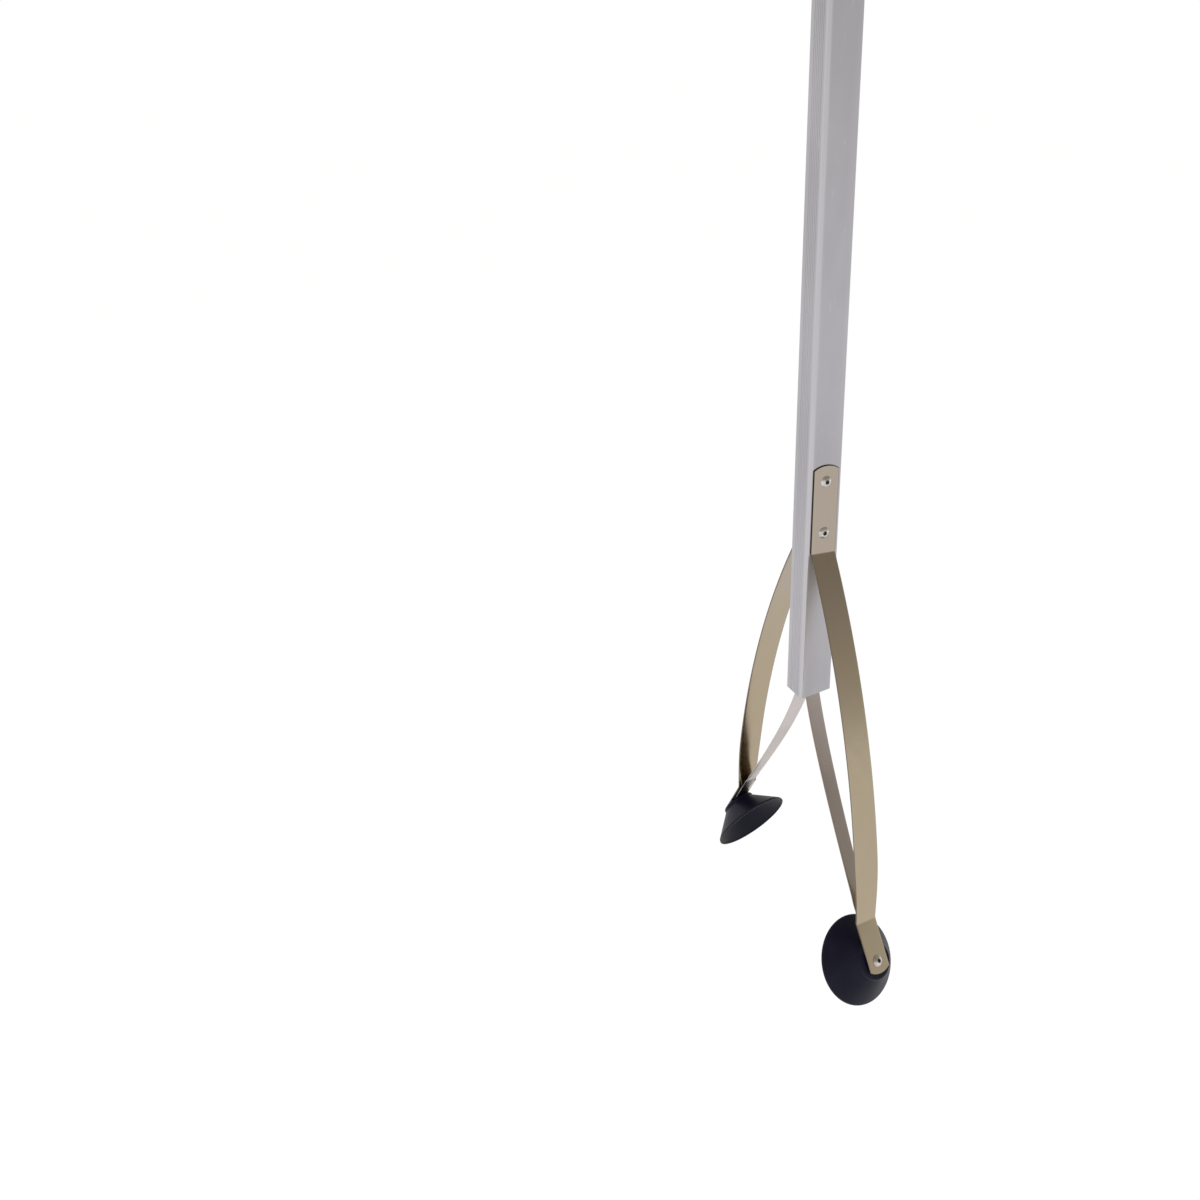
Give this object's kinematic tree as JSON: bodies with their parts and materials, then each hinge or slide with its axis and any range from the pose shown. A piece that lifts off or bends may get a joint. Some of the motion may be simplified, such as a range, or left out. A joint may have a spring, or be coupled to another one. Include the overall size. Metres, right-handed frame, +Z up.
{
  "type": "golf ball retriever",
  "caption": "Squeeze-grip reacher with rubber suction cups on bowed spring-steel arms that close on a golf ball when the trigger pulls a rod through its channel.",
  "frame": {"origin": "centre of the hang hole in the handle", "axes": "+Z up the channel from the jaws to the handle, +Y along the hang hole towards the back shell, jaws open along X and the grip points along -X"},
  "size_m": [0.2072, 0.0488, 0.8107],
  "materials": {
    "extrusion": "satin extruded aluminium, fine grooves along the front and back faces",
    "spring_steel": "polished spring steel with a warm tone",
    "strip_steel": "bright rolled steel strip",
    "rivet_metal": "bright drawn metal",
    "cup_rubber": "matt black rubber",
    "grip_plastic": "fine-textured black moulded plastic",
    "trigger_plastic": "fine-textured black moulded plastic",
    "nylon": "natural nylon",
    "rod_steel": "drawn bright steel"
  },
  "bodies": {
    "frame": {"channel": "extrusion", "right_arm_root": "spring_steel", "left_arm_root": "spring_steel", "right_arm_rivets": "rivet_metal", "left_arm_rivets": "rivet_metal", "handle_front_shell": "grip_plastic", "handle_back_shell": "grip_plastic", "handle_screws": "rod_steel", "rod_guide": "nylon", "trigger_pin": "rod_steel"},
    "trigger": {"trigger": "trigger_plastic"},
    "rod": {"pull_rod": "rod_steel", "rod_clevis": "rod_steel", "link_pin": "rod_steel", "strip_clamp": "nylon", "clamp_rivet": "rod_steel", "right_strip_leg": "strip_steel", "left_strip_leg": "strip_steel"},
    "right_arm": {"right_arm_mid": "spring_steel"},
    "right_jaw": {"right_arm_tip": "spring_steel", "right_strip_tab": "strip_steel", "right_cup": "cup_rubber", "right_cup_rivet": "rivet_metal", "right_cup_washer": "rivet_metal"},
    "right_strip": {"right_pull_strip": "strip_steel"},
    "left_arm": {"left_arm_mid": "spring_steel"},
    "left_jaw": {"left_arm_tip": "spring_steel", "left_strip_tab": "strip_steel", "left_cup": "cup_rubber", "left_cup_rivet": "rivet_metal", "left_cup_washer": "rivet_metal"},
    "left_strip": {"left_pull_strip": "strip_steel"}
  },
  "joints": [
    {"name": "trigger_pivot", "type": "hinge", "parent": "frame", "child": "trigger", "pos_m": [0.03, 0, -0.03757], "axis": [0, 1, 0], "range_deg": [0, 31.1], "stiffness_Nm_per_rad": 1.6, "springref_deg": -11.46},
    {"name": "rod_slide", "type": "slide", "parent": "frame", "child": "rod", "axis": [0, 0, 1], "range_m": [0, 0.0168]},
    {"name": "right_arm_flex", "type": "hinge", "parent": "frame", "child": "right_arm", "pos_m": [0.03105, 0, -0.59825], "axis": [0, 1, 0], "range_deg": [0, 17.41]},
    {"name": "right_jaw_flex", "type": "hinge", "parent": "right_arm", "child": "right_jaw", "pos_m": [0.06097, 0, -0.685], "axis": [0.0666, 0.6688, -0.7404], "range_deg": [0, 20.23]},
    {"name": "right_strip_flex", "type": "hinge", "parent": "right_jaw", "child": "right_strip", "pos_m": [0.06422, -0.0014, -0.72563], "axis": [0.2001, -0.3744, 0.9054], "range_deg": [0, 10.54]},
    {"name": "left_arm_flex", "type": "hinge", "parent": "frame", "child": "left_arm", "pos_m": [-0.03105, 0, -0.59825], "axis": [0, -1, 0], "range_deg": [0, 17.41]},
    {"name": "left_jaw_flex", "type": "hinge", "parent": "left_arm", "child": "left_jaw", "pos_m": [-0.06097, 0, -0.685], "axis": [-0.0666, -0.6688, -0.7404], "range_deg": [0, 20.23]},
    {"name": "left_strip_flex", "type": "hinge", "parent": "left_jaw", "child": "left_strip", "pos_m": [-0.06422, 0.0014, -0.72563], "axis": [-0.2001, 0.3744, 0.9054], "range_deg": [0, 10.54]}
  ],
  "couplings": [
    {"joint": "rod_slide", "follows": "trigger_pivot", "m_per_rad": 0.030767},
    {"joint": "right_arm_flex", "follows": "trigger_pivot", "ratio": 0.559},
    {"joint": "right_jaw_flex", "follows": "trigger_pivot", "ratio": 0.64984},
    {"joint": "right_strip_flex", "follows": "trigger_pivot", "ratio": 0.3381},
    {"joint": "left_arm_flex", "follows": "trigger_pivot", "ratio": 0.559},
    {"joint": "left_jaw_flex", "follows": "trigger_pivot", "ratio": 0.64984},
    {"joint": "left_strip_flex", "follows": "trigger_pivot", "ratio": 0.3381}
  ]
}
